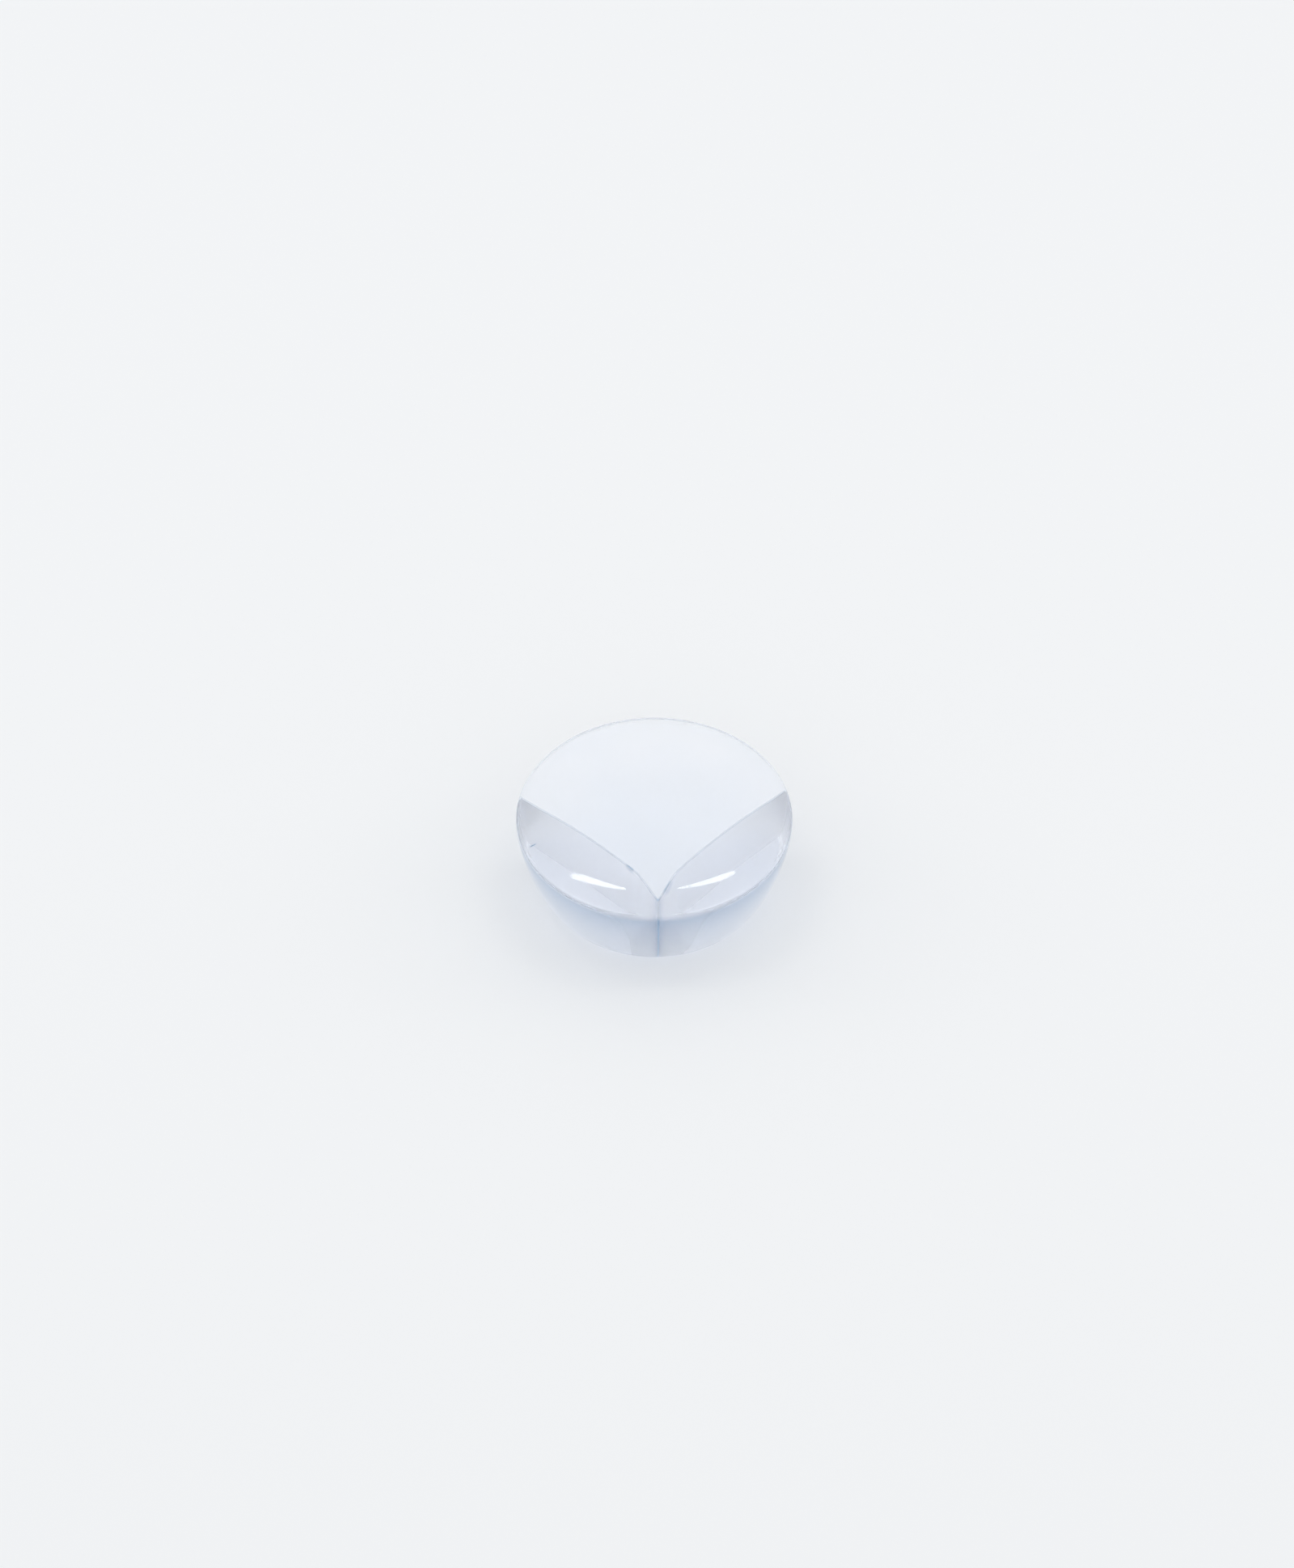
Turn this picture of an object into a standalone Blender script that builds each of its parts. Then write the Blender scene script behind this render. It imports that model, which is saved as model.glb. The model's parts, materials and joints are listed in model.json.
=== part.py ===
"""Clear soft corner protector for a table top, modelled as the one moulded piece it is.

The body is turned: a low crown, a rounded shoulder, a parting line, and a side wall that draws in to a flat base.
A notch for the corner of the table top is cut up into it from below, and its inner corner runs on into a narrow
relief, so that the soft walls can spread.

Run with: blender --background --python part.py, or from Blender's text editor. Sizes are in metres, +Z is up.
The origin is the inner corner of the notch on its ceiling, where the corner of the table top comes to rest.
The table top lies along +X and +Y from there, and reaches down along -Z.
"""

import math

import bmesh
import bpy
from mathutils import Vector

# Turned body, by radius from its own upright axis
BODY_DIAMETER = 0.0400  # widest, just under the parting line
PARTING_INSET = 0.0004  # how far the parting line lies inside the widest radius
BASE_RADIUS = 0.0159  # flat base, to the corner that its edge rounding removes
SHOULDER_WIDTH = 0.0038  # from the crown's edge out to the parting line
BASE_EDGE_ROUND = 0.0005

# Turned body, by height
NOTCH_DEPTH = 0.0100  # ceiling of the notch down to the base
PARTING_HEIGHT = 0.0029  # parting line above the ceiling of the notch
SHOULDER_HEIGHT = 0.0016  # from the parting line up to the crown's edge
CROWN_RISE = 0.0010  # from the crown's edge up to its middle

# Handles of the curves that round the crown, the shoulder and the side wall
CROWN_MIDDLE_HANDLE = 0.0099  # level, out from the crown's middle
CROWN_EDGE_HANDLE = 0.0034  # back up the crown from its edge
CROWN_EDGE_FALL = math.radians(17)  # how steeply the crown falls at its edge
SHOULDER_HANDLE = 0.0014  # how far the shoulder runs on with the crown's fall before it turns down
LIP_HANDLE = 0.0003  # how far the rounding under the parting line runs down at the widest radius
WALL_TOP_HANDLE = 0.0026  # straight down from the widest radius
WALL_FOOT_HANDLE = 0.0038  # up from the base, leaning outwards
WALL_FOOT_LEAN = math.radians(35)

# Notch, seen from above
FRONT_WALL = 0.0029  # soft material left in front of the table's corner, at the base
RELIEF_WEB = 0.0010  # what is left of it in front of the relief's tip
RELIEF_REACH = 0.0038  # where the relief starts, along each wall from the corner
RELIEF_MOUTH_ROUND = 0.0040
RELIEF_TIP_ROUND = 0.0002
CEILING_FILLET = 0.0003
CUTTER_MARGIN = 0.0040  # how far the cutter runs past the body

# Fineness
STEPS_AROUND = 96
STEPS_CROWN = 8
STEPS_SHOULDER = 4
STEPS_WALL = 10
STEPS_ROUND = 4
AXIS_MERGE = 0.00001

# Clear soft PVC
PVC_COLOUR = (0.80, 0.84, 0.93, 1.0)
PVC_ROUGHNESS = 0.12
PVC_TRANSMISSION = 0.9
PVC_IOR = 1.53

BODY_RADIUS = BODY_DIAMETER / 2
PARTING_RADIUS = BODY_RADIUS - PARTING_INSET
CROWN_RADIUS = PARTING_RADIUS - SHOULDER_WIDTH
BASE_HEIGHT = -NOTCH_DEPTH
CROWN_EDGE_HEIGHT = PARTING_HEIGHT + SHOULDER_HEIGHT
CROWN_TOP_HEIGHT = CROWN_EDGE_HEIGHT + CROWN_RISE
CORNER_DISTANCE = BASE_RADIUS - FRONT_WALL  # body's axis to the table's corner
RELIEF_DEPTH = FRONT_WALL - RELIEF_WEB  # table's corner to the relief's tip
AXIS_OFFSET = CORNER_DISTANCE / math.sqrt(2)  # body's axis from the origin, along X and along Y


def empty_scene():
    for item in list(bpy.data.objects):
        bpy.data.objects.remove(item, do_unlink=True)


def new_collection(name):
    collection = bpy.data.collections.new(name)
    bpy.context.scene.collection.children.link(collection)
    return collection


def clear_pvc():
    material = bpy.data.materials.new("clear_soft_pvc")
    material.use_nodes = True
    shader = material.node_tree.nodes["Principled BSDF"]
    shader.inputs["Base Color"].default_value = PVC_COLOUR
    shader.inputs["Metallic"].default_value = 0.0
    shader.inputs["Roughness"].default_value = PVC_ROUGHNESS
    shader.inputs["IOR"].default_value = PVC_IOR
    shader.inputs["Transmission Weight"].default_value = PVC_TRANSMISSION
    material.diffuse_color = PVC_COLOUR
    return material


def curve(points, steps):
    """Points along a smooth curve with one or two handles, from after its start to its end."""
    along_curve = []
    for step in range(1, steps + 1):
        share = step / steps
        row = [Vector(point) for point in points]
        while len(row) > 1:
            row = [first.lerp(second, share) for first, second in zip(row, row[1:])]
        along_curve.append(row[0])
    return along_curve


def body_profile():
    """The body's outer side, as radius and height, from the crown's middle down to the base's middle."""
    crown_middle = Vector((0.0, CROWN_TOP_HEIGHT))
    middle_handle = crown_middle + Vector((CROWN_MIDDLE_HANDLE, 0.0))
    crown_edge = Vector((CROWN_RADIUS, CROWN_EDGE_HEIGHT))
    down_crown = Vector((math.cos(CROWN_EDGE_FALL), -math.sin(CROWN_EDGE_FALL)))
    edge_handle = crown_edge - CROWN_EDGE_HANDLE * down_crown
    shoulder_handle = crown_edge + SHOULDER_HANDLE * down_crown
    parting = Vector((PARTING_RADIUS, PARTING_HEIGHT))
    fall = parting - shoulder_handle
    lip_handle = parting + fall * PARTING_INSET / fall.x
    widest = lip_handle - Vector((0.0, LIP_HANDLE))
    wall_handle = widest - Vector((0.0, WALL_TOP_HANDLE))
    foot = Vector((BASE_RADIUS, BASE_HEIGHT))
    up_wall = Vector((math.sin(WALL_FOOT_LEAN), math.cos(WALL_FOOT_LEAN)))
    foot_handle = foot + WALL_FOOT_HANDLE * up_wall
    wall_end = foot + BASE_EDGE_ROUND * up_wall
    on_base = foot - Vector((BASE_EDGE_ROUND, 0.0))
    points = [crown_middle]
    points += curve([crown_middle, middle_handle, edge_handle, crown_edge], STEPS_CROWN)
    points += curve([crown_edge, shoulder_handle, parting], STEPS_SHOULDER)
    points += curve([parting, lip_handle, widest], STEPS_ROUND)
    points += curve([widest, wall_handle, foot_handle, wall_end], STEPS_WALL)
    points += curve([wall_end, foot, on_base], STEPS_ROUND)
    points.append(Vector((0.0, BASE_HEIGHT)))
    return points


def turned_body(name, collection, material):
    points = body_profile()
    mesh = bpy.data.meshes.new(name)
    edges = [(start, start + 1) for start in range(len(points) - 1)]
    mesh.from_pydata([(radius, 0.0, height) for radius, height in points], edges, [])
    mesh.materials.append(material)
    body = bpy.data.objects.new(name, mesh)
    collection.objects.link(body)
    body.location = (AXIS_OFFSET, AXIS_OFFSET, 0.0)
    screw = body.modifiers.new("turn", "SCREW")
    screw.axis = "Z"
    screw.steps = STEPS_AROUND
    screw.render_steps = STEPS_AROUND
    screw.use_merge_vertices = True
    screw.merge_threshold = AXIS_MERGE
    screw.use_smooth_shade = True
    return body


def arc_at(corner, before, after, radius):
    """Points that round an outline's corner between its neighbours, or the corner itself."""
    if radius == 0.0:
        return [corner]
    to_before = (before - corner).normalized()
    to_after = (after - corner).normalized()
    half_angle = to_before.angle(to_after) / 2
    centre = corner + (to_before + to_after).normalized() * radius / math.sin(half_angle)
    start = corner + to_before * radius / math.tan(half_angle) - centre
    end = corner + to_after * radius / math.tan(half_angle) - centre
    points = []
    for step in range(STEPS_ROUND + 1):
        direction = start.slerp(end, step / STEPS_ROUND)
        points.append(centre + direction.normalized() * radius)
    return points


def notch_outline():
    """The table's corner with its relief, seen from above, as one closed outline."""
    reach = AXIS_OFFSET + BODY_RADIUS + CUTTER_MARGIN
    tip = -RELIEF_DEPTH / math.sqrt(2)
    corners = [
        (Vector((reach, 0.0)), 0.0),
        (Vector((reach, reach)), 0.0),
        (Vector((0.0, reach)), 0.0),
        (Vector((0.0, RELIEF_REACH)), RELIEF_MOUTH_ROUND),
        (Vector((tip, tip)), RELIEF_TIP_ROUND),
        (Vector((RELIEF_REACH, 0.0)), RELIEF_MOUTH_ROUND),
    ]
    points = []
    for index, (corner, radius) in enumerate(corners):
        before = corners[index - 1][0]
        after = corners[(index + 1) % len(corners)][0]
        points += arc_at(corner, before, after, radius)
    return points


def notch_cutter(collection):
    """The space for the table's corner: its outline as a flat curve, extruded, then made a mesh."""
    outline = notch_outline()
    height = NOTCH_DEPTH + CUTTER_MARGIN
    curve = bpy.data.curves.new("notch_outline", "CURVE")
    curve.dimensions = "2D"
    curve.fill_mode = "BOTH"
    curve.extrude = height / 2
    spline = curve.splines.new("POLY")
    spline.points.add(len(outline) - 1)
    for point, place in zip(spline.points, outline):
        point.co = (place.x, place.y, 0.0, 1.0)
    spline.use_cyclic_u = True
    drawn = bpy.data.objects.new("notch_outline", curve)
    collection.objects.link(drawn)
    drawn.location = (0.0, 0.0, -height / 2)
    bpy.context.view_layer.update()
    evaluated = drawn.evaluated_get(bpy.context.evaluated_depsgraph_get())
    mesh = bpy.data.meshes.new_from_object(evaluated)
    close_caps(mesh)
    weigh_top_edges(mesh, height / 2)
    cutter = bpy.data.objects.new("notch_cutter", mesh)
    collection.objects.link(cutter)
    cutter.matrix_world = drawn.matrix_world
    bpy.data.objects.remove(drawn, do_unlink=True)
    fillet = cutter.modifiers.new("ceiling_fillet", "BEVEL")
    fillet.limit_method = "WEIGHT"
    fillet.width = CEILING_FILLET
    fillet.segments = 2
    cutter.hide_render = True
    cutter.display_type = "WIRE"
    return cutter


def close_caps(mesh):
    shape = bmesh.new()
    shape.from_mesh(mesh)
    bmesh.ops.remove_doubles(shape, verts=shape.verts, dist=AXIS_MERGE)
    bmesh.ops.dissolve_limit(shape, angle_limit=math.radians(0.5), verts=shape.verts, edges=shape.edges)
    bmesh.ops.recalc_face_normals(shape, faces=shape.faces)
    shape.to_mesh(mesh)
    shape.free()


def weigh_top_edges(mesh, top):
    """Marks the edges round the notch's ceiling, so that only they get the fillet."""
    weights = mesh.attributes.new("bevel_weight_edge", "FLOAT", "EDGE")
    for edge in mesh.edges:
        heights = [mesh.vertices[index].co.z for index in edge.vertices]
        weights.data[edge.index].value = float(min(heights) > top - AXIS_MERGE)


def cut_notch(body, cutter):
    cut = body.modifiers.new("notch", "BOOLEAN")
    cut.operation = "DIFFERENCE"
    cut.solver = "EXACT"
    cut.object = cutter


def main():
    empty_scene()
    parts = new_collection("corner_protector")
    cutters = new_collection("cutters")
    body = turned_body("corner_guard", parts, clear_pvc())
    cut_notch(body, notch_cutter(cutters))


main()
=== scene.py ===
"""Looks of a clear soft corner protector: one moulded piece of transparent PVC on a pale studio floor.

Laid out as a Blender add-on and run as a script. All lengths are in metres, and +Z is up. The origin is the
inner corner of the notch on its ceiling, and the notch's two walls run along +X and +Y from there.
"""

import json
import math

import bmesh
import bpy
from mathutils import Matrix, Vector, noise


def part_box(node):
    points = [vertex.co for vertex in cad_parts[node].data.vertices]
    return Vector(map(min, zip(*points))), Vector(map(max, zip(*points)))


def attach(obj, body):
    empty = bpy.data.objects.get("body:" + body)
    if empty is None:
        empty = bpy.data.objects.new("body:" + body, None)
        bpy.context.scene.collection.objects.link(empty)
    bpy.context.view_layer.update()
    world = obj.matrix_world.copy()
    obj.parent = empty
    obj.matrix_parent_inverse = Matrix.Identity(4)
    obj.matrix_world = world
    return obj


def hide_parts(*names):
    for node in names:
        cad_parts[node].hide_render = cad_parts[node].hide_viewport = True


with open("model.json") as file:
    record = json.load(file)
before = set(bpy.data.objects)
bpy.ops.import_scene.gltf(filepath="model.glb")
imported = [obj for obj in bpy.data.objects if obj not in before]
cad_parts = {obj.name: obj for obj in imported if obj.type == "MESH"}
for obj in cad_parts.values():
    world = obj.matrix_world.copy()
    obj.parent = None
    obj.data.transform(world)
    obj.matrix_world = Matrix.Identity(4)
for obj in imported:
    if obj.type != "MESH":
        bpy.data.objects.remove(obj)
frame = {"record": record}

bl_info = {
    "name": "Clear corner guard",
    "version": (1, 0, 0),
    "blender": (4, 5, 0),
    "location": "View3D > Sidebar > Corner guard",
    "description": "Builds a clear soft corner protector and the studio it is shown in",
    "category": "Object",
}

MM = 0.001

# The guard's node and body in the frame
GUARD_NODE = "corner_guard"
GUARD_BODY = "root"

# Marks that the mesh carries for its material; two of them hold how much shade is painted into a face
MATT_MARK = "matt_face"
PAINTED_SHADE_MARK = "painted_shade_amount"
NOTCH_MARK = "notch_wall"
PAINTED_CEILING_MARK = "painted_ceiling_shade"
SCUFF_MARK = "scuffed_lip"

# The frame's own measures: the node's box, and the seat's place in the record
NODE_LOW, NODE_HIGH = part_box(GUARD_NODE)
AXIS_X = (NODE_LOW.x + NODE_HIGH.x) / 2
AXIS_Y = (NODE_LOW.y + NODE_HIGH.y) / 2
SEAT = {mount["name"]: mount for mount in frame["record"]["mounts"]}["table_top_seat"]["pos_m"]

# Handles of the curves that round the crown, the shoulder and the side wall, as the solid has them
CROWN_MIDDLE_HANDLE = 9.9 * MM
CROWN_EDGE_HANDLE = 3.4 * MM
SHOULDER_HANDLE = 1.4 * MM
LIP_HANDLE = 0.3 * MM
WALL_TOP_HANDLE = 2.6 * MM
WALL_FOOT_HANDLE = 3.8 * MM

# Fineness of the meshes
STEPS_AROUND = 432
STEPS_CROWN = 44
STEPS_SHOULDER = 20
STEPS_LIP = 12
STEPS_WALL = 34
STEPS_EDGE = 6
STEPS_CORNER = 10
STEPS_FILLET = 5
STEPS_BEAD = 8
STEPS_NICK = 8
STEPS_FLOOR = 96
SMALLEST_ROUND = 0.02 * MM
CUTTER_MARGIN = 4.0 * MM
SHARP_EDGE = math.radians(28)

# Swells of the moulded skin: a smaller and finer one lies on the large one, and neither reaches the base
SMALL_SWELL_SHARE = 0.35
SMALL_SWELL_FINENESS = 2.7
TRUE_FOOT = 2.0 * MM
SWELL_FADE = 2.0 * MM

# How the parting line's bead varies round the guard
BEAD_MEAN = 0.75
BEAD_SPREAD = 0.5
BEAD_FINENESS = 90.0

# Where the nick starts and which way it runs, to the right and away in the photograph's view
NICK_PLACE = (-18.1 * MM, -6.4 * MM)
NICK_COURSE = (1.14, 0.28)

# How faces are told apart for their marks
LEVEL_FACE = 0.95
NICK_STEEPNESS = 0.75
NICK_REACH_SHARE = 0.6
BASE_EDGE_SHARE = 0.9
HEIGHT_SLACK = 0.01 * MM
WALL_SHADE_POWER = 1.5

# Patterns of the finish, as fineness and detail, and between which of a pattern's values its effect sets in
HAZE_PATTERN = (260.0, 4.0)
GRAIN_PATTERN = (1500.0, 2.0)
CLOUD_PATTERN = (120.0, 3.0)
# Detail and span of the painted shade patches' outline, and how steeply the painted shade fades from the
# relief's tip
PAINTED_PATCH_DETAIL = 2.0
HAZE_SPAN = (0.40, 0.75)
PAINTED_PATCH_SPAN = (0.40, 0.55)
SLIT_FADE_POWER = 3.0
EVEN_FADE_POWER = 1.0
WHITE = (1.0, 1.0, 1.0, 1.0)

# Painted shade patches on the notch's walls: middle, reach, strength and fineness of their torn outline
PAINTED_SHADE_PATCHES = (
    ((0.0, 5.2 * MM, -0.1 * MM), 1.3 * MM, 2.0, 1300.0),
    ((1.9 * MM, -0.45 * MM, 0.2 * MM), 2.2 * MM, 2.4, 200.0),
    ((0.0, 23.5 * MM, -1.5 * MM), 5.0 * MM, 0.5, 250.0),
)

# The photograph's frame and what was read from it
FRAME_PIXELS = (1600, 1939)
GUARD_PIXEL = (809, 1009)
GUARD_PIXELS_WIDE = 342
SENSOR_WIDTH_MM = 36.0
NEAREST_SEEN = 0.01
FURTHEST_SEEN = 10.0

# Lamps: name, and both ends as directions to the right, away from the camera and up
STREAK_LAMPS = (
    ("streak_left", ((-0.15, 0.08, 0.99), (-0.49, 0.18, 0.86))),
    ("streak_right", ((0.12, 0.11, 0.99), (0.46, 0.21, 0.87))),
)
SIDE_LAMPS = (
    ("side_left", ((-0.80, 0.05, 0.40), (-0.90, 0.40, 0.20))),
    ("side_right", ((0.80, 0.05, 0.40), (0.90, 0.40, 0.20))),
)
STREAK_THICKNESS = 0.10
SIDE_THICKNESS = 0.40
LAMP_DISTANCE = 1.0

# Floor and room
FLOOR_RADIUS = 2.4
FLOOR_GAP = 0.02 * MM
FLOOR_ROUGHNESS = 0.9
FLOOR_GLOSS = 0.1
ROOM_BRIGHT_FROM = 0.35  # how far up the room has its full light, as a share of the way to overhead

# Bounces of light that clear plastic needs
MOST_BOUNCES = 32
DIFFUSE_BOUNCES = 16


class GuardShape(bpy.types.PropertyGroup):
    """Sizes of the guard, as its solid has them, and the small forms that only its surface has"""

    diameter: bpy.props.FloatProperty(
        name="Diameter", description="Widest, just under the parting line", default=NODE_HIGH.x - NODE_LOW.x,
        min=0.01, unit="LENGTH")
    crown_top: bpy.props.FloatProperty(
        name="Crown height", description="Top of the crown above the notch's ceiling", default=NODE_HIGH.z,
        unit="LENGTH")
    base: bpy.props.FloatProperty(
        name="Base", description="Height of the flat base, below the notch's ceiling", default=NODE_LOW.z,
        unit="LENGTH")
    parting_inset: bpy.props.FloatProperty(
        name="Parting inset", description="How far the parting line lies inside the widest radius",
        default=0.4 * MM, unit="LENGTH")
    base_radius: bpy.props.FloatProperty(
        name="Base radius", description="Radius of the flat base, to the corner that its rounding removes",
        default=15.9 * MM, unit="LENGTH")
    shoulder_width: bpy.props.FloatProperty(
        name="Shoulder width", description="From the crown's edge out to the parting line",
        default=3.8 * MM, unit="LENGTH")
    shoulder_height: bpy.props.FloatProperty(
        name="Shoulder height", description="From the parting line up to the crown's edge",
        default=1.6 * MM, unit="LENGTH")
    crown_rise: bpy.props.FloatProperty(
        name="Crown rise", description="From the crown's edge up to its middle", default=1.0 * MM,
        unit="LENGTH")
    crown_edge_fall: bpy.props.FloatProperty(
        name="Crown edge fall", description="How steeply the crown falls at its edge",
        default=math.radians(17), subtype="ANGLE", unit="ROTATION")
    wall_foot_lean: bpy.props.FloatProperty(
        name="Wall foot lean", description="How far the side wall leans out where it leaves the base",
        default=math.radians(35), subtype="ANGLE", unit="ROTATION")
    base_round: bpy.props.FloatProperty(
        name="Base rounding", description="Rounding between the side wall and the base", default=0.5 * MM,
        unit="LENGTH")
    front_wall: bpy.props.FloatProperty(
        name="Front wall", description="Material in front of the notch's corner, at the base",
        default=2.9 * MM, unit="LENGTH")
    relief_web: bpy.props.FloatProperty(
        name="Relief web", description="Material left in front of the relief's tip, at the base",
        default=1.0 * MM, unit="LENGTH")
    relief_reach: bpy.props.FloatProperty(
        name="Relief reach", description="Where the relief starts, along each wall from the corner",
        default=3.8 * MM, unit="LENGTH")
    mouth_round: bpy.props.FloatProperty(
        name="Mouth rounding", description="Rounding where a wall runs into the relief", default=4.0 * MM,
        unit="LENGTH")
    tip_round: bpy.props.FloatProperty(
        name="Tip rounding", description="Rounding at the relief's tip", default=0.2 * MM, unit="LENGTH")
    ceiling_fillet: bpy.props.FloatProperty(
        name="Ceiling fillet", description="Fillet between the notch's ceiling and its walls",
        default=0.3 * MM, unit="LENGTH")
    bead_height: bpy.props.FloatProperty(
        name="Bead height", description="How far the parting line stands out", default=0.02 * MM,
        unit="LENGTH")
    bead_width: bpy.props.FloatProperty(
        name="Bead width", description="Width of the parting line", default=0.40 * MM, unit="LENGTH")
    scuff_reach: bpy.props.FloatProperty(
        name="Scuff reach", description="How far the scuffing spreads from the parting line",
        default=0.9 * MM, unit="LENGTH")
    nick_length: bpy.props.FloatProperty(
        name="Nick length", description="Length of the small cut in the left shoulder", default=1.3 * MM,
        unit="LENGTH")
    nick_width: bpy.props.FloatProperty(
        name="Nick width", description="Width of the small cut in the left shoulder", default=0.2 * MM,
        unit="LENGTH")
    nick_depth: bpy.props.FloatProperty(
        name="Nick depth", description="Depth of the small cut in the left shoulder", default=0.22 * MM,
        unit="LENGTH")
    waviness: bpy.props.FloatProperty(
        name="Waviness", description="How far the moulded surface strays from a true turned one",
        default=0.03 * MM, unit="LENGTH")
    wave_length: bpy.props.FloatProperty(
        name="Wave length", description="Distance between the surface's slow swells", default=9.0 * MM,
        unit="LENGTH")


class GuardFinish(bpy.types.PropertyGroup):
    """Finish of the clear soft PVC"""

    tint: bpy.props.FloatVectorProperty(
        name="Tint", description="Colour that white light takes on inside the PVC", subtype="COLOR", size=3,
        default=(0.62, 0.70, 1.0), min=0.0, max=1.0)
    tint_density: bpy.props.FloatProperty(
        name="Tint density", description="How strongly the PVC takes on its tint, for each metre",
        default=9.0, min=0.0)
    clearness: bpy.props.FloatProperty(
        name="Clearness", description="Share of the light that passes; the rest is scattered, milky white",
        default=0.74, min=0.5, max=1.0, subtype="FACTOR")
    cloud_colour: bpy.props.FloatVectorProperty(
        name="Cloud colour", description="Faint uneven shade of the skin", subtype="COLOR", size=3,
        default=(0.95, 0.97, 1.0), min=0.0, max=1.0)
    passing_light: bpy.props.FloatVectorProperty(
        name="Passing light", description="Light that each face lets straight through to what lies behind",
        subtype="COLOR", size=3, default=(0.69, 0.71, 0.73), min=0.0, max=1.0)
    refraction: bpy.props.FloatProperty(
        name="Index of refraction", description="Of plasticised PVC", default=1.53, min=1.0)
    gloss_roughness: bpy.props.FloatProperty(
        name="Gloss roughness", description="Roughness where the surface is clean and glossy", default=0.015,
        min=0.0, max=1.0, subtype="FACTOR")
    haze_roughness: bpy.props.FloatProperty(
        name="Haze roughness", description="Roughness where handling has dulled the surface", default=0.10,
        min=0.0, max=1.0, subtype="FACTOR")
    scuff_roughness: bpy.props.FloatProperty(
        name="Scuff roughness", description="Roughness of the scuffed parting line", default=0.2,
        min=0.0, max=1.0, subtype="FACTOR")
    matt_roughness: bpy.props.FloatProperty(
        name="Matt roughness", description="Roughness of the notch's walls and the base", default=0.30,
        min=0.0, max=1.0, subtype="FACTOR")
    ceiling_share: bpy.props.FloatProperty(
        name="Ceiling share", description="How matt the notch's ceiling is, as a share of its walls",
        default=0.7, min=0.0, max=1.0, subtype="FACTOR")
    grain_height: bpy.props.FloatProperty(
        name="Grain height", description="Height of the faint grain that the mould leaves",
        default=0.0012 * MM, unit="LENGTH")
    # Painted shade: a blue grey mixed into the skin, fullest at the relief's narrow tip and weaker on the
    # other faces where shade is painted
    painted_shade_colour: bpy.props.FloatVectorProperty(
        name="Slit colour", description="Shade at the relief's narrow tip, and weaker on other shaded faces",
        subtype="COLOR", size=3, default=(0.12, 0.28, 0.48), min=0.0, max=1.0)
    slit_reach: bpy.props.FloatProperty(
        name="Slit reach", description="How far the shade spreads from the relief's tip", default=3.2 * MM,
        unit="LENGTH")
    # Painted shade on the side wall, none at the base and darkest just under the parting line
    wall_painted_shade_share: bpy.props.FloatProperty(
        name="Wall share", description="How much of that shade the side wall holds under the parting line",
        default=0.62, min=0.0, max=1.0, subtype="FACTOR")
    # Painted shade along the notch's inner edge, on the ceiling's fillet
    edge_painted_shade_share: bpy.props.FloatProperty(
        name="Edge share", description="How much of that shade the notch's inner edge holds", default=0.4,
        min=0.0, max=1.0, subtype="FACTOR")
    # Painted shade on the notch's ceiling, darker towards its inner corner
    ceiling_painted_shade: bpy.props.FloatProperty(
        name="Ceiling shade", description="How much of that shade the notch's ceiling holds at its corner",
        default=0.12, min=0.0, max=1.0, subtype="FACTOR")
    ceiling_shade_reach: bpy.props.FloatProperty(
        name="Ceiling shade reach", description="How far the ceiling's shade spreads from the inner corner",
        default=26.0 * MM, unit="LENGTH")


class Studio(bpy.types.PropertyGroup):
    """Floor, light and camera"""

    floor_colour: bpy.props.FloatVectorProperty(
        name="Floor colour", description="Pale floor", subtype="COLOR", size=3, default=(0.87, 0.88, 0.89),
        min=0.0, max=1.0)
    horizon_colour: bpy.props.FloatVectorProperty(
        name="Horizon colour", description="Light of the room at the level of the floor", subtype="COLOR",
        size=3, default=(0.76, 0.79, 0.83), min=0.0, max=1.0)
    ceiling_colour: bpy.props.FloatVectorProperty(
        name="Ceiling colour", description="Light of the room from above", subtype="COLOR", size=3,
        default=(0.86, 0.865, 0.87), min=0.0, max=1.0)
    elevation: bpy.props.FloatProperty(
        name="Camera elevation", description="The photograph's view above the level",
        default=math.radians(46.8), subtype="ANGLE", unit="ROTATION")
    azimuth: bpy.props.FloatProperty(
        name="Camera azimuth", description="The photograph's view round the guard, from looking along +Y",
        default=math.radians(-47), subtype="ANGLE", unit="ROTATION")
    camera_distance: bpy.props.FloatProperty(
        name="Camera distance", description="From the guard to the camera", default=1.2, unit="LENGTH")
    streak_radiance: bpy.props.FloatProperty(
        name="Streak lamps", description="Brightness of the two overhead lamps, where 1 is white",
        default=7.0, min=0.0)
    side_radiance: bpy.props.FloatProperty(
        name="Side lamps", description="Brightness of the two lamps at the sides, where 1 is white",
        default=1.6, min=0.0)


def curve(points, steps):
    """Points along a smooth curve with one or two handles, from after its start to its end."""
    along_curve = []
    for step in range(1, steps + 1):
        share = step / steps
        row = [Vector(point) for point in points]
        while len(row) > 1:
            row = [first.lerp(second, share) for first, second in zip(row, row[1:])]
        along_curve.append(row[0])
    return along_curve


def parting_height(shape):
    """Height of the parting line above the notch's ceiling."""
    return shape.crown_top - shape.crown_rise - shape.shoulder_height


def relief_tip(shape):
    """Where the relief's tip lies, along X and along Y."""
    return -(shape.front_wall - shape.relief_web) / math.sqrt(2)


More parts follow.
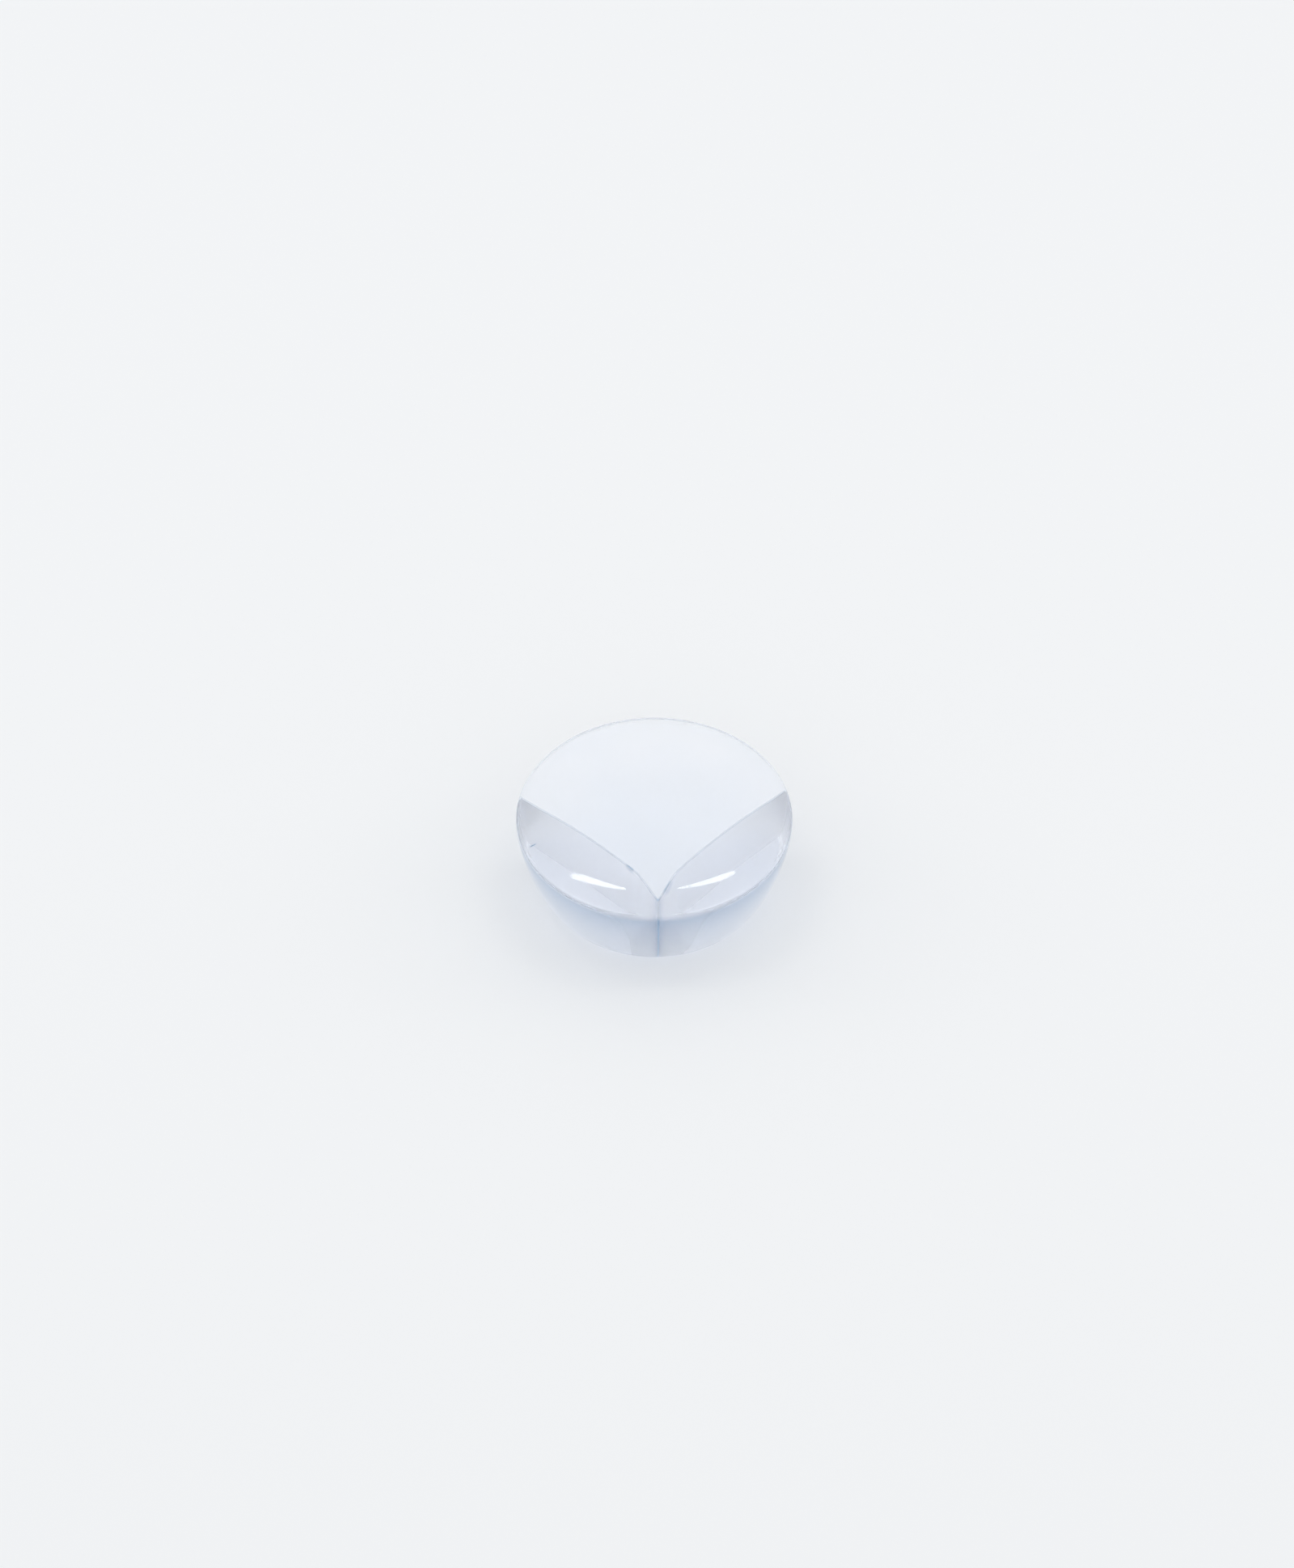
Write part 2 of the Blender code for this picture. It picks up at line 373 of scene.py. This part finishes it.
def guard_profile(shape):
    """The guard's outer side as radius and height, from beside the crown's middle to the base's edge."""
    parting = Vector((shape.diameter / 2 - shape.parting_inset, parting_height(shape)))
    crown_edge = parting + Vector((-shape.shoulder_width, shape.shoulder_height))
    crown_middle = Vector((0.0, shape.crown_top))
    middle_handle = crown_middle + Vector((CROWN_MIDDLE_HANDLE, 0.0))
    down_crown = Vector((math.cos(shape.crown_edge_fall), -math.sin(shape.crown_edge_fall)))
    edge_handle = crown_edge - CROWN_EDGE_HANDLE * down_crown
    shoulder_handle = crown_edge + SHOULDER_HANDLE * down_crown
    fall = parting - shoulder_handle
    lip_handle = parting + fall * shape.parting_inset / fall.x
    widest = lip_handle - Vector((0.0, LIP_HANDLE))
    wall_handle = widest - Vector((0.0, WALL_TOP_HANDLE))
    foot = Vector((shape.base_radius, shape.base))
    up_wall = Vector((math.sin(shape.wall_foot_lean), math.cos(shape.wall_foot_lean)))
    foot_handle = foot + WALL_FOOT_HANDLE * up_wall
    wall_end = foot + shape.base_round * up_wall
    on_base = foot - Vector((shape.base_round, 0.0))
    points = curve([crown_middle, middle_handle, edge_handle, crown_edge], STEPS_CROWN)
    points += curve([crown_edge, shoulder_handle, parting], STEPS_SHOULDER)
    points += curve([parting, lip_handle, widest], STEPS_LIP)
    points += curve([widest, wall_handle, foot_handle, wall_end], STEPS_WALL)
    points += curve([wall_end, foot, on_base], STEPS_EDGE)
    return points, parting


def refined(points, middle, reach, longest):
    """The profile with extra points near a place, so that no step there is longer than asked."""
    finer = [points[0]]
    for before, after in zip(points, points[1:]):
        parts = 1
        if min((before - middle).length, (after - middle).length) < reach:
            parts = math.ceil((after - before).length / longest)
        for part in range(1, parts + 1):
            finer.append(before.lerp(after, part / parts))
    return finer


def profile_normals(points):
    """The outward direction at each point of the profile."""
    normals = []
    for index in range(len(points)):
        before = points[max(index - 1, 0)]
        after = points[min(index + 1, len(points) - 1)]
        along = after - before
        normals.append(Vector((-along.y, along.x)).normalized())
    return normals


def surface_stray(shape, place, reach):
    """How far the moulded surface sinks in at a place, from slow swells. It never stands out."""
    fine_place = place * SMALL_SWELL_FINENESS / shape.wave_length
    swell = noise.noise(place / shape.wave_length) + SMALL_SWELL_SHARE * noise.noise(fine_place)
    largest = 1.0 + SMALL_SWELL_SHARE
    return -shape.waviness * reach * (largest - swell) / (2 * largest)


def bead_stand(shape, distance, place):
    """How far the parting line stands out, at a distance from its middle. It varies round the guard."""
    share = distance / (shape.bead_width / 2)
    if share >= 1.0:
        return 0.0
    strength = BEAD_MEAN + BEAD_SPREAD * noise.noise(place * BEAD_FINENESS)
    return shape.bead_height * strength * (1.0 - share**2) ** 2


def turned_guard(shape):
    """The guard's body before the notch: its profile turned round the axis, with bead and swells."""
    profile, parting = guard_profile(shape)
    profile = refined(profile, parting, shape.bead_width, shape.bead_width / STEPS_BEAD)
    outward = profile_normals(profile)
    body = bmesh.new()
    rings = []
    for point, normal in zip(profile, outward):
        ring = []
        reach = max(0.0, min(1.0, (point.y - shape.base - TRUE_FOOT) / SWELL_FADE))
        from_parting = (point - parting).length
        for step in range(STEPS_AROUND):
            turn = math.tau * step / STEPS_AROUND
            around = Vector((math.cos(turn), math.sin(turn)))
            place = Vector((around.x * point.x, around.y * point.x, point.y))
            stand = surface_stray(shape, place, reach) + bead_stand(shape, from_parting, place)
            moved = point + normal * stand
            ring.append(body.verts.new((AXIS_X + around.x * moved.x, AXIS_Y + around.y * moved.x, moved.y)))
        rings.append(ring)
    middle = Vector((0.0, 0.0, shape.crown_top))
    top = body.verts.new((AXIS_X, AXIS_Y, shape.crown_top + surface_stray(shape, middle, 1.0)))
    for first, second in zip(rings[0], rings[0][1:] + rings[0][:1]):
        body.faces.new((top, first, second))
    for upper, lower in zip(rings, rings[1:]):
        for step in range(STEPS_AROUND):
            after = (step + 1) % STEPS_AROUND
            body.faces.new((upper[step], lower[step], lower[after], upper[after]))
    body.faces.new(reversed(rings[-1]))
    return mesh_object("turned_guard", body)


def mesh_object(name, shape):
    """An object in the scene from a finished bmesh."""
    bmesh.ops.recalc_face_normals(shape, faces=shape.faces)
    mesh = bpy.data.meshes.new(name)
    shape.to_mesh(mesh)
    shape.free()
    made = bpy.data.objects.new(name, mesh)
    bpy.context.scene.collection.objects.link(made)
    return made


def arc_at(corner, before, after, radius):
    """Points that round an outline's corner between its neighbours, or the corner itself."""
    if radius == 0.0:
        return [corner]
    to_before = (before - corner).normalized()
    to_after = (after - corner).normalized()
    half_angle = to_before.angle(to_after) / 2
    centre = corner + (to_before + to_after).normalized() * radius / math.sin(half_angle)
    start = corner + to_before * radius / math.tan(half_angle) - centre
    end = corner + to_after * radius / math.tan(half_angle) - centre
    points = []
    for step in range(STEPS_CORNER + 1):
        direction = start.slerp(end, step / STEPS_CORNER)
        points.append(centre + direction.normalized() * radius)
    return points


def moved_corner(corner, before, after, inset):
    """Where an outline's corner comes to lie when both its sides move in by an inset."""
    into = []
    for side in (corner - before, after - corner):
        into.append(Vector((-side.y, side.x)).normalized())
    middle = (into[0] + into[1]).normalized()
    return corner + middle * inset / middle.dot(into[0])


def notch_outline(shape, inset):
    """The notch with its relief, seen from above, as one closed outline drawn in by an inset."""
    reach = max(NODE_HIGH.x, NODE_HIGH.y) + CUTTER_MARGIN
    tip = relief_tip(shape)
    corners = [
        (Vector((reach, SEAT[1])), 0.0),
        (Vector((reach, reach)), 0.0),
        (Vector((SEAT[0], reach)), 0.0),
        (Vector((SEAT[0], shape.relief_reach)), shape.mouth_round + inset),
        (Vector((tip, tip)), max(shape.tip_round - inset, SMALLEST_ROUND)),
        (Vector((shape.relief_reach, SEAT[1])), shape.mouth_round + inset),
    ]
    places = [corner for corner, _ in corners]
    moved = []
    for index, corner in enumerate(places):
        moved.append(moved_corner(corner, places[index - 1], places[(index + 1) % len(places)], inset))
    points = []
    for index, (_, radius) in enumerate(corners):
        points += arc_at(moved[index], moved[index - 1], moved[(index + 1) % len(moved)], radius)
    return points


def notch_layers(shape):
    """Heights and insets of the notch's outline: straight walls from below the base, then the fillet."""
    layers = [(shape.base - CUTTER_MARGIN, 0.0)]
    for step in range(STEPS_FILLET + 1):
        turn = math.pi / 2 * step / STEPS_FILLET
        height = SEAT[2] - shape.ceiling_fillet * (1.0 - math.sin(turn))
        layers.append((height, shape.ceiling_fillet * (1.0 - math.cos(turn))))
    return layers


def notch_cutter(shape):
    """The notch's space, as a stack of outlines from below the base up to the ceiling."""
    cutter = bmesh.new()
    rings = []
    for height, inset in notch_layers(shape):
        rings.append([cutter.verts.new((point.x, point.y, height)) for point in notch_outline(shape, inset)])
    for lower, upper in zip(rings, rings[1:]):
        for step in range(len(lower)):
            after = (step + 1) % len(lower)
            cutter.faces.new((lower[step], lower[after], upper[after], upper[step]))
    cutter.faces.new(reversed(rings[0]))
    cutter.faces.new(rings[-1])
    return mesh_object("notch_cutter", cutter)


def height_at(profile, radius):
    """Height of the guard's upper side at a radius."""
    for inner, outer in zip(profile, profile[1:]):
        if inner.x <= radius <= outer.x:
            return inner.lerp(outer, (radius - inner.x) / (outer.x - inner.x)).y
    raise ValueError("The radius lies outside the guard")


def view_axes(studio):
    """From the guard to the camera, and the picture's right and up, for the photograph's view."""
    level = math.cos(studio.elevation)
    back = Vector((math.sin(studio.azimuth) * level, -math.cos(studio.azimuth) * level, 0.0))
    back.z = math.sin(studio.elevation)
    right = Vector((math.cos(studio.azimuth), math.sin(studio.azimuth), 0.0))
    return back, right, back.cross(right)


def place_on_nick(shape, studio, share):
    """A place along the nick on the uncut surface: 0 at its outer end, 1 at its inner end."""
    _, right, _ = view_axes(studio)
    away = Vector((-right.y, right.x, 0.0))
    course = (right * NICK_COURSE[0] + away * NICK_COURSE[1]).normalized()
    place = right * NICK_PLACE[0] + away * NICK_PLACE[1] + course * shape.nick_length * share
    profile, _ = guard_profile(shape)
    return Vector((AXIS_X + place.x, AXIS_Y + place.y, height_at(profile, place.length)))


def nick_cutter(shape, studio):
    """A thin wedge, deepest in its middle, that cuts the small nick in the left shoulder's upper side."""
    course = place_on_nick(shape, studio, 1.0) - place_on_nick(shape, studio, 0.0)
    across = Vector((-course.y, course.x, 0.0)).normalized() * shape.nick_width
    down = Vector((0.0, 0.0, shape.nick_depth))
    wedge = bmesh.new()
    rings = []
    for step in range(1, STEPS_NICK):
        swell = math.sin(math.pi * step / STEPS_NICK)
        skin = place_on_nick(shape, studio, step / STEPS_NICK)
        ring = (skin - down * swell, skin + (down + across) * swell, skin + (down - across) * swell)
        rings.append([wedge.verts.new(corner) for corner in ring])
    for first, second in zip(rings, rings[1:]):
        for step in range(3):
            after = (step + 1) % 3
            wedge.faces.new((first[step], first[after], second[after], second[step]))
    wedge.faces.new(reversed(rings[0]))
    wedge.faces.new(rings[-1])
    return mesh_object("nick_cutter", wedge)


def cut(body, cutter):
    """Takes the cutter's space out of the body for good, and removes the cutter."""
    boolean = body.modifiers.new("cut", "BOOLEAN")
    boolean.operation = "DIFFERENCE"
    boolean.solver = "EXACT"
    boolean.object = cutter
    bpy.context.view_layer.update()
    evaluated = body.evaluated_get(bpy.context.evaluated_depsgraph_get())
    cut_mesh = bpy.data.meshes.new_from_object(evaluated)
    body.modifiers.clear()
    body.data = cut_mesh
    bpy.data.objects.remove(cutter, do_unlink=True)


def mark_faces(shape, finish, nick_middle, mesh):
    """Marks how matt each face is, whether it is the notch's, and how much painted shade it holds."""
    _, parting = guard_profile(shape)
    fillet_foot = SEAT[2] - shape.ceiling_fillet
    marks = {name: [0.0] * len(mesh.polygons) for name in (MATT_MARK, PAINTED_SHADE_MARK, NOTCH_MARK, PAINTED_CEILING_MARK)}
    for polygon in mesh.polygons:
        centre = polygon.center
        normal = polygon.normal
        outward = normal.x * (centre.x - AXIS_X) + normal.y * (centre.y - AXIS_Y)
        on_ceiling = normal.z < -LEVEL_FACE and centre.z > fillet_foot
        on_base = centre.z < shape.base + shape.base_round * BASE_EDGE_SHARE
        on_notch = outward < 0.0 and centre.z < SEAT[2] + HEIGHT_SLACK
        from_nick = (centre - nick_middle).length
        if on_ceiling:
            marks[MATT_MARK][polygon.index] = finish.ceiling_share
            # The ceiling takes painted shade, darker towards its inner corner
            marks[PAINTED_CEILING_MARK][polygon.index] = finish.ceiling_painted_shade
        elif on_base or on_notch:
            marks[MATT_MARK][polygon.index] = 1.0
        if on_notch and not on_ceiling and not on_base:
            marks[NOTCH_MARK][polygon.index] = 1.0
        # Painted shade: full on the nick's steep faces
        if from_nick < shape.nick_length * NICK_REACH_SHARE and normal.z < NICK_STEEPNESS:
            marks[PAINTED_SHADE_MARK][polygon.index] = 1.0
        # Painted shade on the side wall: none at the base, darkest just under the parting line
        elif outward > 0.0 and centre.z < parting.y:
            rise = max(0.0, (centre.z - shape.base) / (parting.y - shape.base))
            below_lip = min(1.0, (parting.y - centre.z) / shape.scuff_reach)
            marks[PAINTED_SHADE_MARK][polygon.index] = finish.wall_painted_shade_share * rise**WALL_SHADE_POWER * below_lip
        # Painted shade along the notch's inner edge
        elif on_notch and not on_ceiling and centre.z > fillet_foot:
            marks[PAINTED_SHADE_MARK][polygon.index] = finish.edge_painted_shade_share
    for name, values in marks.items():
        mesh.attributes.new(name, "FLOAT", "FACE").data.foreach_set("value", values)


def mark_scuffed_lip(shape, mesh):
    """Marks how scuffed each point is: most on the parting line, none a short way from it."""
    _, parting = guard_profile(shape)
    scuff = mesh.attributes.new(SCUFF_MARK, "FLOAT", "POINT")
    for vertex in mesh.vertices:
        radius = math.hypot(vertex.co.x - AXIS_X, vertex.co.y - AXIS_Y)
        distance = math.hypot(radius - parting.x, vertex.co.z - parting.y)
        scuff.data[vertex.index].value = max(0.0, 1.0 - distance / shape.scuff_reach)


def set_input(tree, socket, value):
    """Links a node's input to another node's output, or sets it to a number or a colour."""
    if isinstance(value, bpy.types.NodeSocket):
        tree.links.new(value, socket)
    else:
        socket.default_value = value


def math_node(tree, operation, first, second):
    """The result of one arithmetic step in a material's tree."""
    node = tree.nodes.new("ShaderNodeMath")
    node.operation = operation
    set_input(tree, node.inputs[0], first)
    set_input(tree, node.inputs[1], second)
    return node.outputs["Value"]


def mix_node(tree, kind, factor, first, second):
    """A mix of two numbers or two colours: the first where the factor is 0, the second where it is 1."""
    node = tree.nodes.new("ShaderNodeMix")
    node.data_type = kind
    set_input(tree, node.inputs["Factor"], factor)
    set_input(tree, node.inputs["A"], first)
    set_input(tree, node.inputs["B"], second)
    return node.outputs["Result"]


def range_node(tree, value, before, after):
    """A value that runs over one span of numbers, brought to another span and held inside it."""
    node = tree.nodes.new("ShaderNodeMapRange")
    for name, number in zip(("From Min", "From Max", "To Min", "To Max"), (*before, *after)):
        node.inputs[name].default_value = number
    tree.links.new(value, node.inputs["Value"])
    return node.outputs["Result"]


def pattern_node(tree, place, fineness, detail):
    """A random pattern over the guard, around 0.5."""
    node = tree.nodes.new("ShaderNodeTexNoise")
    node.inputs["Scale"].default_value = fineness
    node.inputs["Detail"].default_value = detail
    tree.links.new(place, node.inputs["Vector"])
    return node.outputs["Fac"]


def mark_node(tree, name):
    """One of the mesh's marks."""
    node = tree.nodes.new("ShaderNodeAttribute")
    node.attribute_name = name
    return node.outputs["Fac"]


def vector_node(tree, operation, vector, other):
    """The node that works out one vector with another that stays the same."""
    node = tree.nodes.new("ShaderNodeVectorMath")
    node.operation = operation
    node.inputs[1].default_value = other
    tree.links.new(vector, node.inputs[0])
    return node


def near_place(tree, vector, middle, full, reach, power):
    """A mask that is 1 within a distance of a place and fades out to 0 at its reach."""
    distance = vector_node(tree, "DISTANCE", vector, middle).outputs["Value"]
    return math_node(tree, "POWER", range_node(tree, distance, (reach, full), (0.0, 1.0)), power)


def painted_patch_mask(tree, place, painted_patch):
    """Where one patch of painted shade lies, with its torn outline."""
    middle, reach, strength, fineness = painted_patch
    fade = near_place(tree, place, middle, 0.0, reach, EVEN_FADE_POWER)
    pattern = pattern_node(tree, place, fineness, PAINTED_PATCH_DETAIL)
    return math_node(tree, "MULTIPLY", fade, range_node(tree, pattern, PAINTED_PATCH_SPAN, (0.0, strength)))


def shade_mask(tree, place, shape, finish):
    """Where shade is painted in: at the relief's tip, on the painted patches, at the ceiling's corner and on
    marked faces.
    """
    level = vector_node(tree, "MULTIPLY", place, (1.0, 1.0, 0.0)).outputs["Vector"]
    tip = (relief_tip(shape), relief_tip(shape), 0.0)
    # Painted shade at the relief's narrow tip, fading out along the notch's walls
    on_walls = near_place(tree, level, tip, shape.relief_web / 2, finish.slit_reach, SLIT_FADE_POWER)
    # Painted shade patches on the notch's walls
    for painted_patch in PAINTED_SHADE_PATCHES:
        on_walls = math_node(tree, "MAXIMUM", on_walls, painted_patch_mask(tree, place, painted_patch))
    on_walls = math_node(tree, "MULTIPLY", on_walls, mark_node(tree, NOTCH_MARK))
    # Painted shade on the ceiling, darker towards the notch's inner corner
    corner = (SEAT[0], SEAT[1], 0.0)
    on_ceiling = near_place(tree, level, corner, 0.0, finish.ceiling_shade_reach, EVEN_FADE_POWER)
    on_ceiling = math_node(tree, "MULTIPLY", on_ceiling, mark_node(tree, PAINTED_CEILING_MARK))
    in_notch = math_node(tree, "MAXIMUM", on_walls, on_ceiling)
    return math_node(tree, "MAXIMUM", in_notch, mark_node(tree, PAINTED_SHADE_MARK))


def skin_colour(tree, place, shape, finish):
    """Colour of the skin: white with faint clouds, and blue grey where shade is painted in."""
    clouds = pattern_node(tree, place, *CLOUD_PATTERN)
    clouded = mix_node(tree, "RGBA", clouds, WHITE, (*finish.cloud_colour, 1.0))
    shade = shade_mask(tree, place, shape, finish)
    return mix_node(tree, "RGBA", shade, clouded, (*finish.painted_shade_colour, 1.0))


def skin_roughness(tree, place, finish):
    """Hazy gloss outside, duller on the scuffed parting line, matt in the notch and on the base."""
    haze = pattern_node(tree, place, *HAZE_PATTERN)
    gloss = range_node(tree, haze, HAZE_SPAN, (finish.gloss_roughness, finish.haze_roughness))
    outside = mix_node(tree, "FLOAT", mark_node(tree, SCUFF_MARK), gloss, finish.scuff_roughness)
    return mix_node(tree, "FLOAT", mark_node(tree, MATT_MARK), outside, finish.matt_roughness)


def mould_grain(tree, place, finish):
    """The faint grain that the mould leaves, as a normal."""
    bump = tree.nodes.new("ShaderNodeBump")
    bump.inputs["Distance"].default_value = finish.grain_height
    tree.links.new(pattern_node(tree, place, *GRAIN_PATTERN), bump.inputs["Height"])
    return bump.outputs["Normal"]


def depth_tint(tree, finish):
    """The tint that light takes on as it goes on inside the PVC."""
    absorption = tree.nodes.new("ShaderNodeVolumeAbsorption")
    absorption.inputs["Color"].default_value = (*finish.tint, 1.0)
    absorption.inputs["Density"].default_value = finish.tint_density
    return absorption.outputs["Volume"]


def lit_through(tree, shader, finish):
    """The shader, with part of the lamps' light let straight through each face."""
    passing = tree.nodes.new("ShaderNodeBsdfTransparent")
    passing.inputs["Color"].default_value = (*finish.passing_light, 1.0)
    path = tree.nodes.new("ShaderNodeLightPath")
    surface = tree.nodes.new("ShaderNodeMixShader")
    tree.links.new(path.outputs["Is Shadow Ray"], surface.inputs["Fac"])
    tree.links.new(shader.outputs["BSDF"], surface.inputs[1])
    tree.links.new(passing.outputs["BSDF"], surface.inputs[2])
    return surface.outputs["Shader"]


def clear_pvc(shape, finish):
    """Clear soft PVC: a glossy, faintly hazy skin, a little milky, with a tint that deepens inside."""
    material = bpy.data.materials.new("clear_soft_pvc")
    material.use_nodes = True
    tree = material.node_tree
    shader = tree.nodes["Principled BSDF"]
    shader.inputs["Metallic"].default_value = 0.0
    shader.inputs["Transmission Weight"].default_value = finish.clearness
    shader.inputs["IOR"].default_value = finish.refraction
    place = tree.nodes.new("ShaderNodeTexCoord").outputs["Object"]
    tree.links.new(skin_colour(tree, place, shape, finish), shader.inputs["Base Color"])
    tree.links.new(skin_roughness(tree, place, finish), shader.inputs["Roughness"])
    tree.links.new(mould_grain(tree, place, finish), shader.inputs["Normal"])
    output = tree.nodes["Material Output"]
    tree.links.new(lit_through(tree, shader, finish), output.inputs["Surface"])
    tree.links.new(depth_tint(tree, finish), output.inputs["Volume"])
    return material


def floor_finish(studio):
    """Matt pale paper for the floor."""
    material = bpy.data.materials.new("pale_floor")
    material.use_nodes = True
    shader = material.node_tree.nodes["Principled BSDF"]
    shader.inputs["Base Color"].default_value = (*studio.floor_colour, 1.0)
    shader.inputs["Roughness"].default_value = FLOOR_ROUGHNESS
    shader.inputs["Specular IOR Level"].default_value = FLOOR_GLOSS
    return material


def add_floor(studio):
    """A round pale floor, a hair below the guard's base."""
    bpy.ops.mesh.primitive_circle_add(
        vertices=STEPS_FLOOR, radius=FLOOR_RADIUS, fill_type="NGON",
        location=(AXIS_X, AXIS_Y, NODE_LOW.z - FLOOR_GAP))
    floor = bpy.context.object
    floor.name = "floor"
    floor.data.materials.append(floor_finish(studio))


def add_softbox(studio, name, ends, thickness, radiance):
    """A long oval lamp that faces the guard, with its ends at two directions from it."""
    _, right, _ = view_axes(studio)
    away = Vector((-right.y, right.x, 0.0))
    start, end = [(right * x + away * y + Vector((0.0, 0.0, z))).normalized() for x, y, z in ends]
    towards = (start + end).normalized()
    along = (end - start).normalized()
    light = bpy.data.lights.new(name, "AREA")
    light.shape = "ELLIPSE"
    light.size = (end - start).length * LAMP_DISTANCE
    light.size_y = thickness
    area = math.pi / 4 * light.size * light.size_y
    light.energy = radiance * math.pi * area
    lamp = bpy.data.objects.new(name, light)
    bpy.context.scene.collection.objects.link(lamp)
    turned = Matrix((along, towards.cross(along), towards)).transposed().to_4x4()
    lamp.matrix_world = Matrix.Translation(Vector((AXIS_X, AXIS_Y, 0.0)) + towards * LAMP_DISTANCE) @ turned
    lamp.visible_camera = False


def add_world(studio):
    """A plain soft room: brighter overhead than at the level of the floor."""
    world = bpy.data.worlds.new("studio")
    bpy.context.scene.world = world
    world.use_nodes = True
    tree = world.node_tree
    background = tree.nodes["Background"]
    direction = tree.nodes.new("ShaderNodeTexCoord")
    split = tree.nodes.new("ShaderNodeSeparateXYZ")
    ramp = tree.nodes.new("ShaderNodeValToRGB")
    tree.links.new(direction.outputs["Generated"], split.inputs["Vector"])
    tree.links.new(split.outputs["Z"], ramp.inputs["Fac"])
    tree.links.new(ramp.outputs["Color"], background.inputs["Color"])
    ramp.color_ramp.elements[0].position = 0.0
    ramp.color_ramp.elements[0].color = (*studio.horizon_colour, 1.0)
    ramp.color_ramp.elements[1].position = ROOM_BRIGHT_FROM
    ramp.color_ramp.elements[1].color = (*studio.ceiling_colour, 1.0)


def add_camera(studio, shape):
    """A long lens from the photograph's angle, framed so that the guard has its place and size there."""
    back, right, up = view_axes(studio)
    metres_per_pixel = shape.diameter / GUARD_PIXELS_WIDE
    rim = Vector((AXIS_X, AXIS_Y, parting_height(shape)))
    across = (FRAME_PIXELS[0] / 2 - GUARD_PIXEL[0]) * metres_per_pixel
    above = (GUARD_PIXEL[1] - FRAME_PIXELS[1] / 2) * metres_per_pixel
    aim = rim + right * across + up * above
    data = bpy.data.cameras.new("camera")
    data.sensor_width = SENSOR_WIDTH_MM
    data.lens = data.sensor_width * studio.camera_distance / (FRAME_PIXELS[1] * metres_per_pixel)
    data.clip_start = NEAREST_SEEN
    data.clip_end = FURTHEST_SEEN
    camera = bpy.data.objects.new("camera", data)
    bpy.context.scene.collection.objects.link(camera)
    camera.location = aim + back * studio.camera_distance
    camera.rotation_euler = back.to_track_quat("Z", "Y").to_euler()
    bpy.context.scene.camera = camera


class CORNERGUARD_OT_guard(bpy.types.Operator):
    """Build the clear moulded guard, with its notch, relief and parting line"""

    bl_idname = "corner_guard.guard"
    bl_label = "Moulded guard"

    def execute(self, context):
        shape = context.scene.guard_shape
        finish = context.scene.guard_finish
        studio = context.scene.guard_studio
        guard = turned_guard(shape)
        cut(guard, notch_cutter(shape))
        cut(guard, nick_cutter(shape, studio))
        guard.name = "moulded_guard"
        guard.data.shade_smooth()
        guard.data.set_sharp_from_angle(angle=SHARP_EDGE)
        mark_scuffed_lip(shape, guard.data)
        mark_faces(shape, finish, place_on_nick(shape, studio, 0.5), guard.data)
        guard.data.materials.append(clear_pvc(shape, finish))
        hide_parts(GUARD_NODE)
        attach(guard, GUARD_BODY)
        return {"FINISHED"}


class CORNERGUARD_OT_stage(bpy.types.Operator):
    """Set up the pale floor, the soft lamps and the camera at the photograph's angle"""

    bl_idname = "corner_guard.stage"
    bl_label = "Studio stage"

    def execute(self, context):
        studio = context.scene.guard_studio
        add_floor(studio)
        add_world(studio)
        for name, ends in STREAK_LAMPS:
            add_softbox(studio, name, ends, STREAK_THICKNESS, studio.streak_radiance)
        for name, ends in SIDE_LAMPS:
            add_softbox(studio, name, ends, SIDE_THICKNESS, studio.side_radiance)
        add_camera(studio, context.scene.guard_shape)
        context.scene.view_settings.view_transform = "Standard"
        context.scene.cycles.max_bounces = MOST_BOUNCES
        context.scene.cycles.diffuse_bounces = DIFFUSE_BOUNCES
        context.scene.cycles.glossy_bounces = MOST_BOUNCES
        context.scene.cycles.transmission_bounces = MOST_BOUNCES
        return {"FINISHED"}


class CORNERGUARD_PT_panel(bpy.types.Panel):
    """Sizes, finish and studio, with the operators that build them"""

    bl_idname = "CORNERGUARD_PT_panel"
    bl_label = "Clear corner guard"
    bl_space_type = "VIEW_3D"
    bl_region_type = "UI"
    bl_category = "Corner guard"

    def draw(self, context):
        for title, group in (
            ("Shape", context.scene.guard_shape),
            ("Finish", context.scene.guard_finish),
            ("Studio", context.scene.guard_studio),
        ):
            box = self.layout.box()
            box.label(text=title)
            for name in group.__annotations__:
                box.prop(group, name)
        for operator in OPERATORS:
            self.layout.operator(operator.bl_idname)


OPERATORS = (CORNERGUARD_OT_guard, CORNERGUARD_OT_stage)
CLASSES = (GuardShape, GuardFinish, Studio, *OPERATORS, CORNERGUARD_PT_panel)


def register():
    """Registers the classes and gives the scene their settings."""
    for item in CLASSES:
        bpy.utils.register_class(item)
    bpy.types.Scene.guard_shape = bpy.props.PointerProperty(type=GuardShape)
    bpy.types.Scene.guard_finish = bpy.props.PointerProperty(type=GuardFinish)
    bpy.types.Scene.guard_studio = bpy.props.PointerProperty(type=Studio)


def unregister():
    """Takes the settings and the classes out again."""
    del bpy.types.Scene.guard_studio
    del bpy.types.Scene.guard_finish
    del bpy.types.Scene.guard_shape
    for item in reversed(CLASSES):
        bpy.utils.unregister_class(item)


def main():
    """Builds the guard and its studio."""
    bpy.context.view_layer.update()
    register()
    bpy.ops.corner_guard.guard()
    bpy.ops.corner_guard.stage()


if __name__ == "__main__":
    main()
